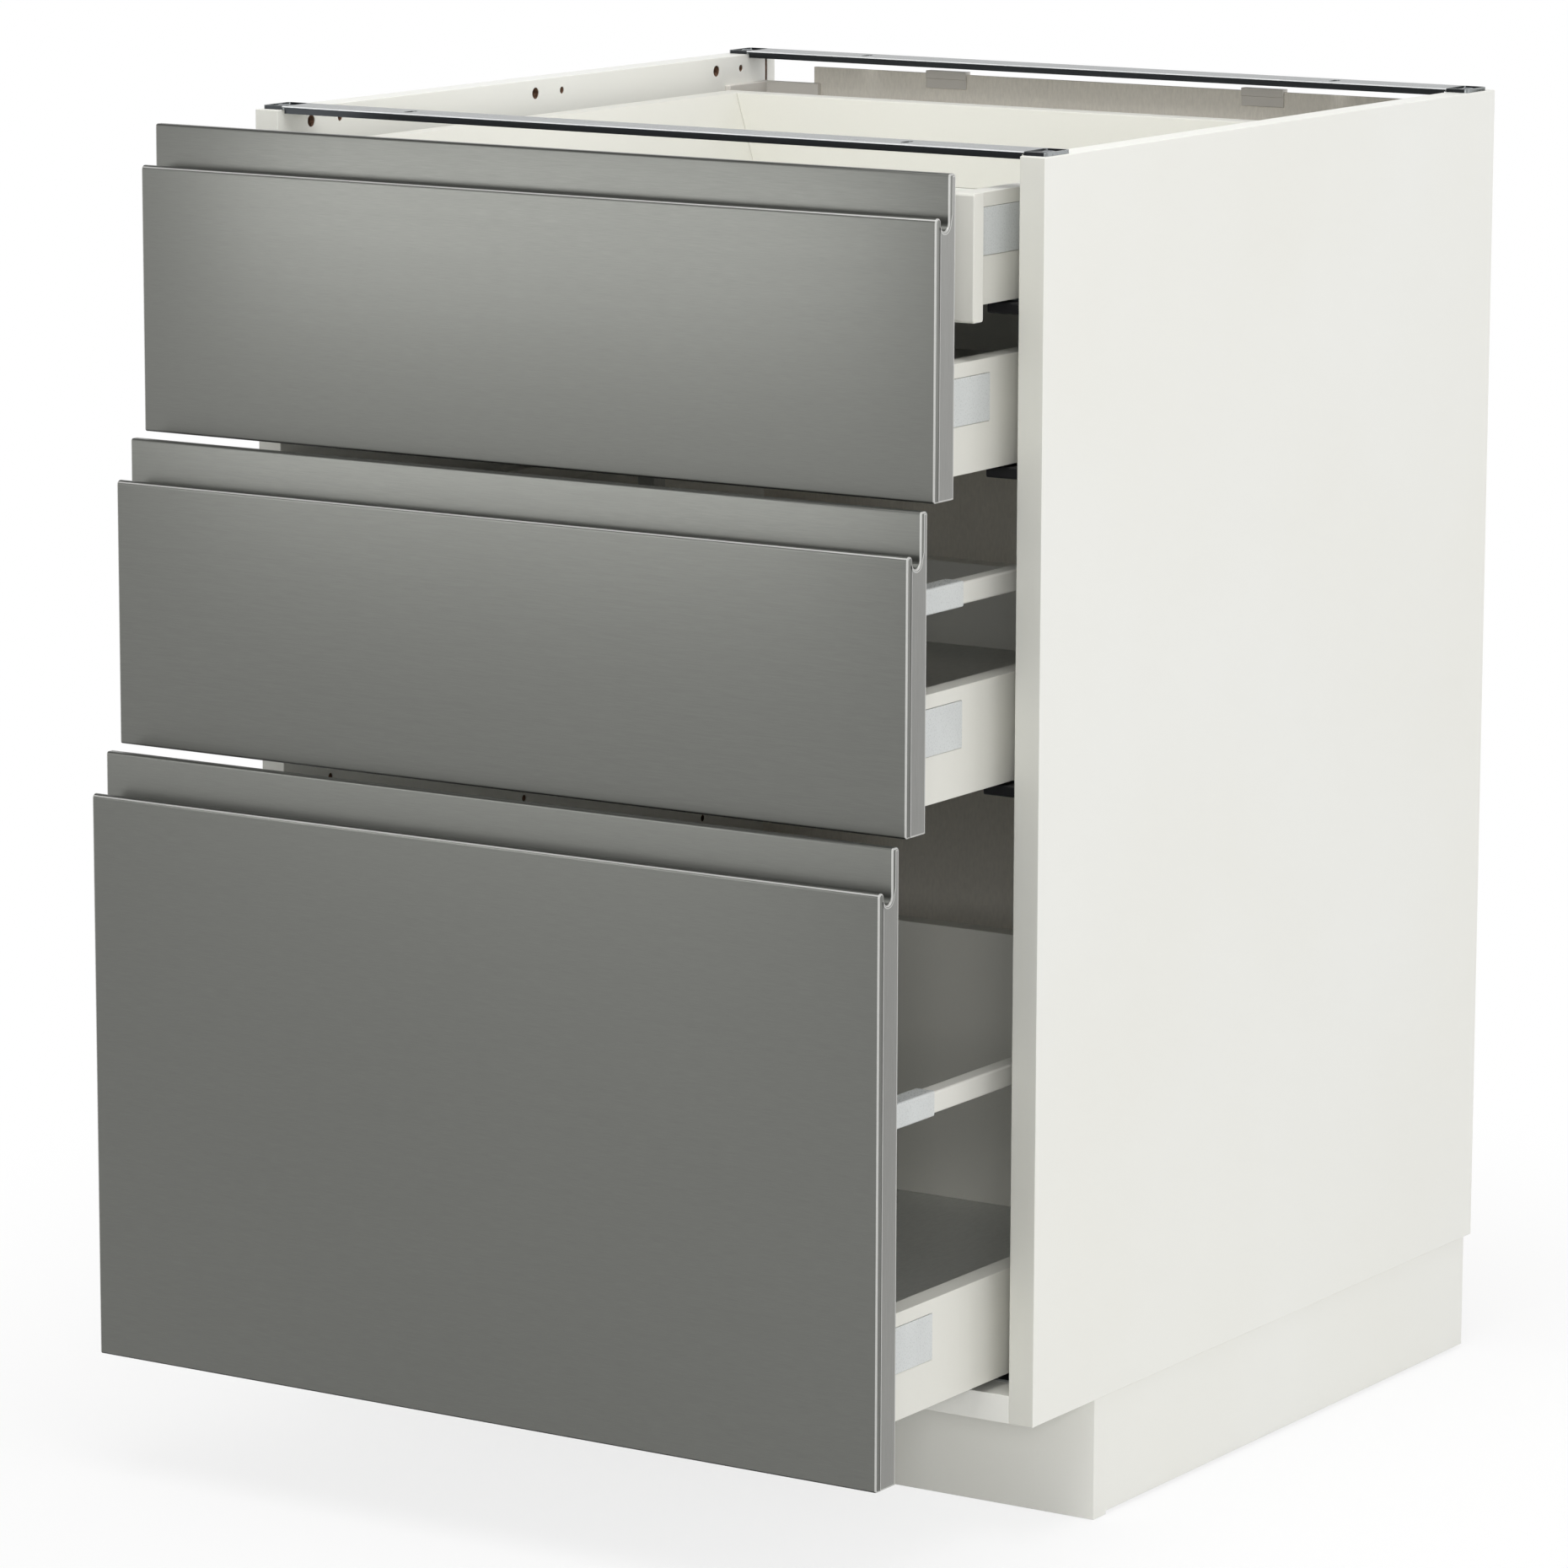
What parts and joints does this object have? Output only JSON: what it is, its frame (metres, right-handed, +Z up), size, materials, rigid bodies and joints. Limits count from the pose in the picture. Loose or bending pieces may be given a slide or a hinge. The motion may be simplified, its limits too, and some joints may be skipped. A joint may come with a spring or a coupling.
{
  "type": "drawer base cabinet",
  "caption": "Floor-standing kitchen cabinet with stacked steel-look drawer fronts, groove grips along their tops, an inner drawer, runners, open top with rails, and a plinth.",
  "frame": {"origin": "on the floor, in the middle of the box that the cabinet fills with its drawers pulled out as stored", "axes": "+X to the viewer's right, +Y from the fronts to the wall, +Z up"},
  "size_m": [0.6, 0.784, 0.8824],
  "materials": {
    "white_melamine": "satin white melamine on chipboard",
    "grey_board": "smooth grey-lacquered fibreboard",
    "steel_look_board": "fibreboard wrapped in brushed steel-look foil, fine horizontal brushing",
    "grey_band": "brushed grey end band",
    "white_board": "satin off-white lacquer",
    "drawer_board": "light grey melamine with a fine grain",
    "white_steel": "off-white powder coat",
    "white_aluminium": "off-white powder coat",
    "bright_steel": "bright rolled steel",
    "zinc_steel": "zinc-plated steel",
    "black_plastic": "black moulded plastic",
    "pale_plastic": "light grey moulded plastic",
    "cool_plastic": "bluish white moulded plastic"
  },
  "bodies": {
    "carcass": {"side_left": "white_melamine", "side_right": "white_melamine", "bottom_panel": "white_melamine", "back_panel": "grey_board", "top_rail_front": "bright_steel", "top_rail_rear": "bright_steel", "rail_screws": "zinc_steel", "rear_brackets": "pale_plastic", "back_clips": "pale_plastic", "cam_fittings": "zinc_steel", "legs": "black_plastic", "leg_feet": "black_plastic", "plinth_front": "white_melamine", "plinth_left": "white_melamine", "plinth_right": "white_melamine", "plinth_clips": "pale_plastic", "runner_rails": "zinc_steel", "runner_noses": "black_plastic", "runner_screws": "zinc_steel"},
    "drawer_inner": {"inner_front": "white_board", "inner_side_left": "white_steel", "inner_side_right": "white_steel", "inner_base": "drawer_board", "inner_back": "white_board", "inner_brackets": "zinc_steel", "inner_caps": "cool_plastic"},
    "slides_inner": {"inner_slides": "bright_steel"},
    "drawer_top": {"top_front": "steel_look_board", "top_side_left": "white_steel", "top_side_right": "white_steel", "top_base": "drawer_board", "top_back": "white_board", "top_brackets": "zinc_steel", "top_caps": "cool_plastic", "top_bands": "grey_band"},
    "slides_top": {"top_slides": "bright_steel"},
    "drawer_middle": {"middle_front": "steel_look_board", "middle_side_left": "white_steel", "middle_side_right": "white_steel", "middle_base": "drawer_board", "middle_back": "white_board", "middle_brackets": "zinc_steel", "middle_caps": "cool_plastic", "middle_bands": "grey_band", "middle_gallery": "white_aluminium", "middle_gallery_ends": "cool_plastic"},
    "slides_middle": {"middle_slides": "bright_steel"},
    "drawer_bottom": {"bottom_front": "steel_look_board", "bottom_side_left": "white_steel", "bottom_side_right": "white_steel", "bottom_base": "drawer_board", "bottom_back": "white_board", "bottom_brackets": "zinc_steel", "bottom_caps": "cool_plastic", "bottom_bands": "grey_band", "bottom_gallery": "white_aluminium", "bottom_gallery_ends": "cool_plastic"},
    "slides_bottom": {"bottom_slides": "bright_steel"}
  },
  "joints": [
    {"name": "top_drawer", "type": "slide", "parent": "carcass", "child": "drawer_top", "axis": [0, -1, 0], "range_m": [-0.1, 0.4]},
    {"name": "middle_drawer", "type": "slide", "parent": "carcass", "child": "drawer_middle", "axis": [0, -1, 0], "range_m": [-0.13, 0.37]},
    {"name": "bottom_drawer", "type": "slide", "parent": "carcass", "child": "drawer_bottom", "axis": [0, -1, 0], "range_m": [-0.16, 0.34]},
    {"name": "inner_drawer", "type": "slide", "parent": "carcass", "child": "drawer_inner", "axis": [0, -1, 0], "range_m": [-0.04, 0.16]},
    {"name": "top_runner_members", "type": "slide", "parent": "carcass", "child": "slides_top", "axis": [0, -1, 0], "range_m": [-0.05, 0.2]},
    {"name": "middle_runner_members", "type": "slide", "parent": "carcass", "child": "slides_middle", "axis": [0, -1, 0], "range_m": [-0.065, 0.185]},
    {"name": "bottom_runner_members", "type": "slide", "parent": "carcass", "child": "slides_bottom", "axis": [0, -1, 0], "range_m": [-0.08, 0.17]},
    {"name": "inner_runner_members", "type": "slide", "parent": "carcass", "child": "slides_inner", "axis": [0, -1, 0], "range_m": [-0.02, 0.08]}
  ],
  "couplings": [
    {"joint": "inner_drawer", "follows": "top_drawer", "ratio": 0.4},
    {"joint": "top_runner_members", "follows": "top_drawer", "ratio": 0.5},
    {"joint": "inner_runner_members", "follows": "top_drawer", "ratio": 0.2},
    {"joint": "middle_runner_members", "follows": "middle_drawer", "ratio": 0.5},
    {"joint": "bottom_runner_members", "follows": "bottom_drawer", "ratio": 0.5}
  ]
}
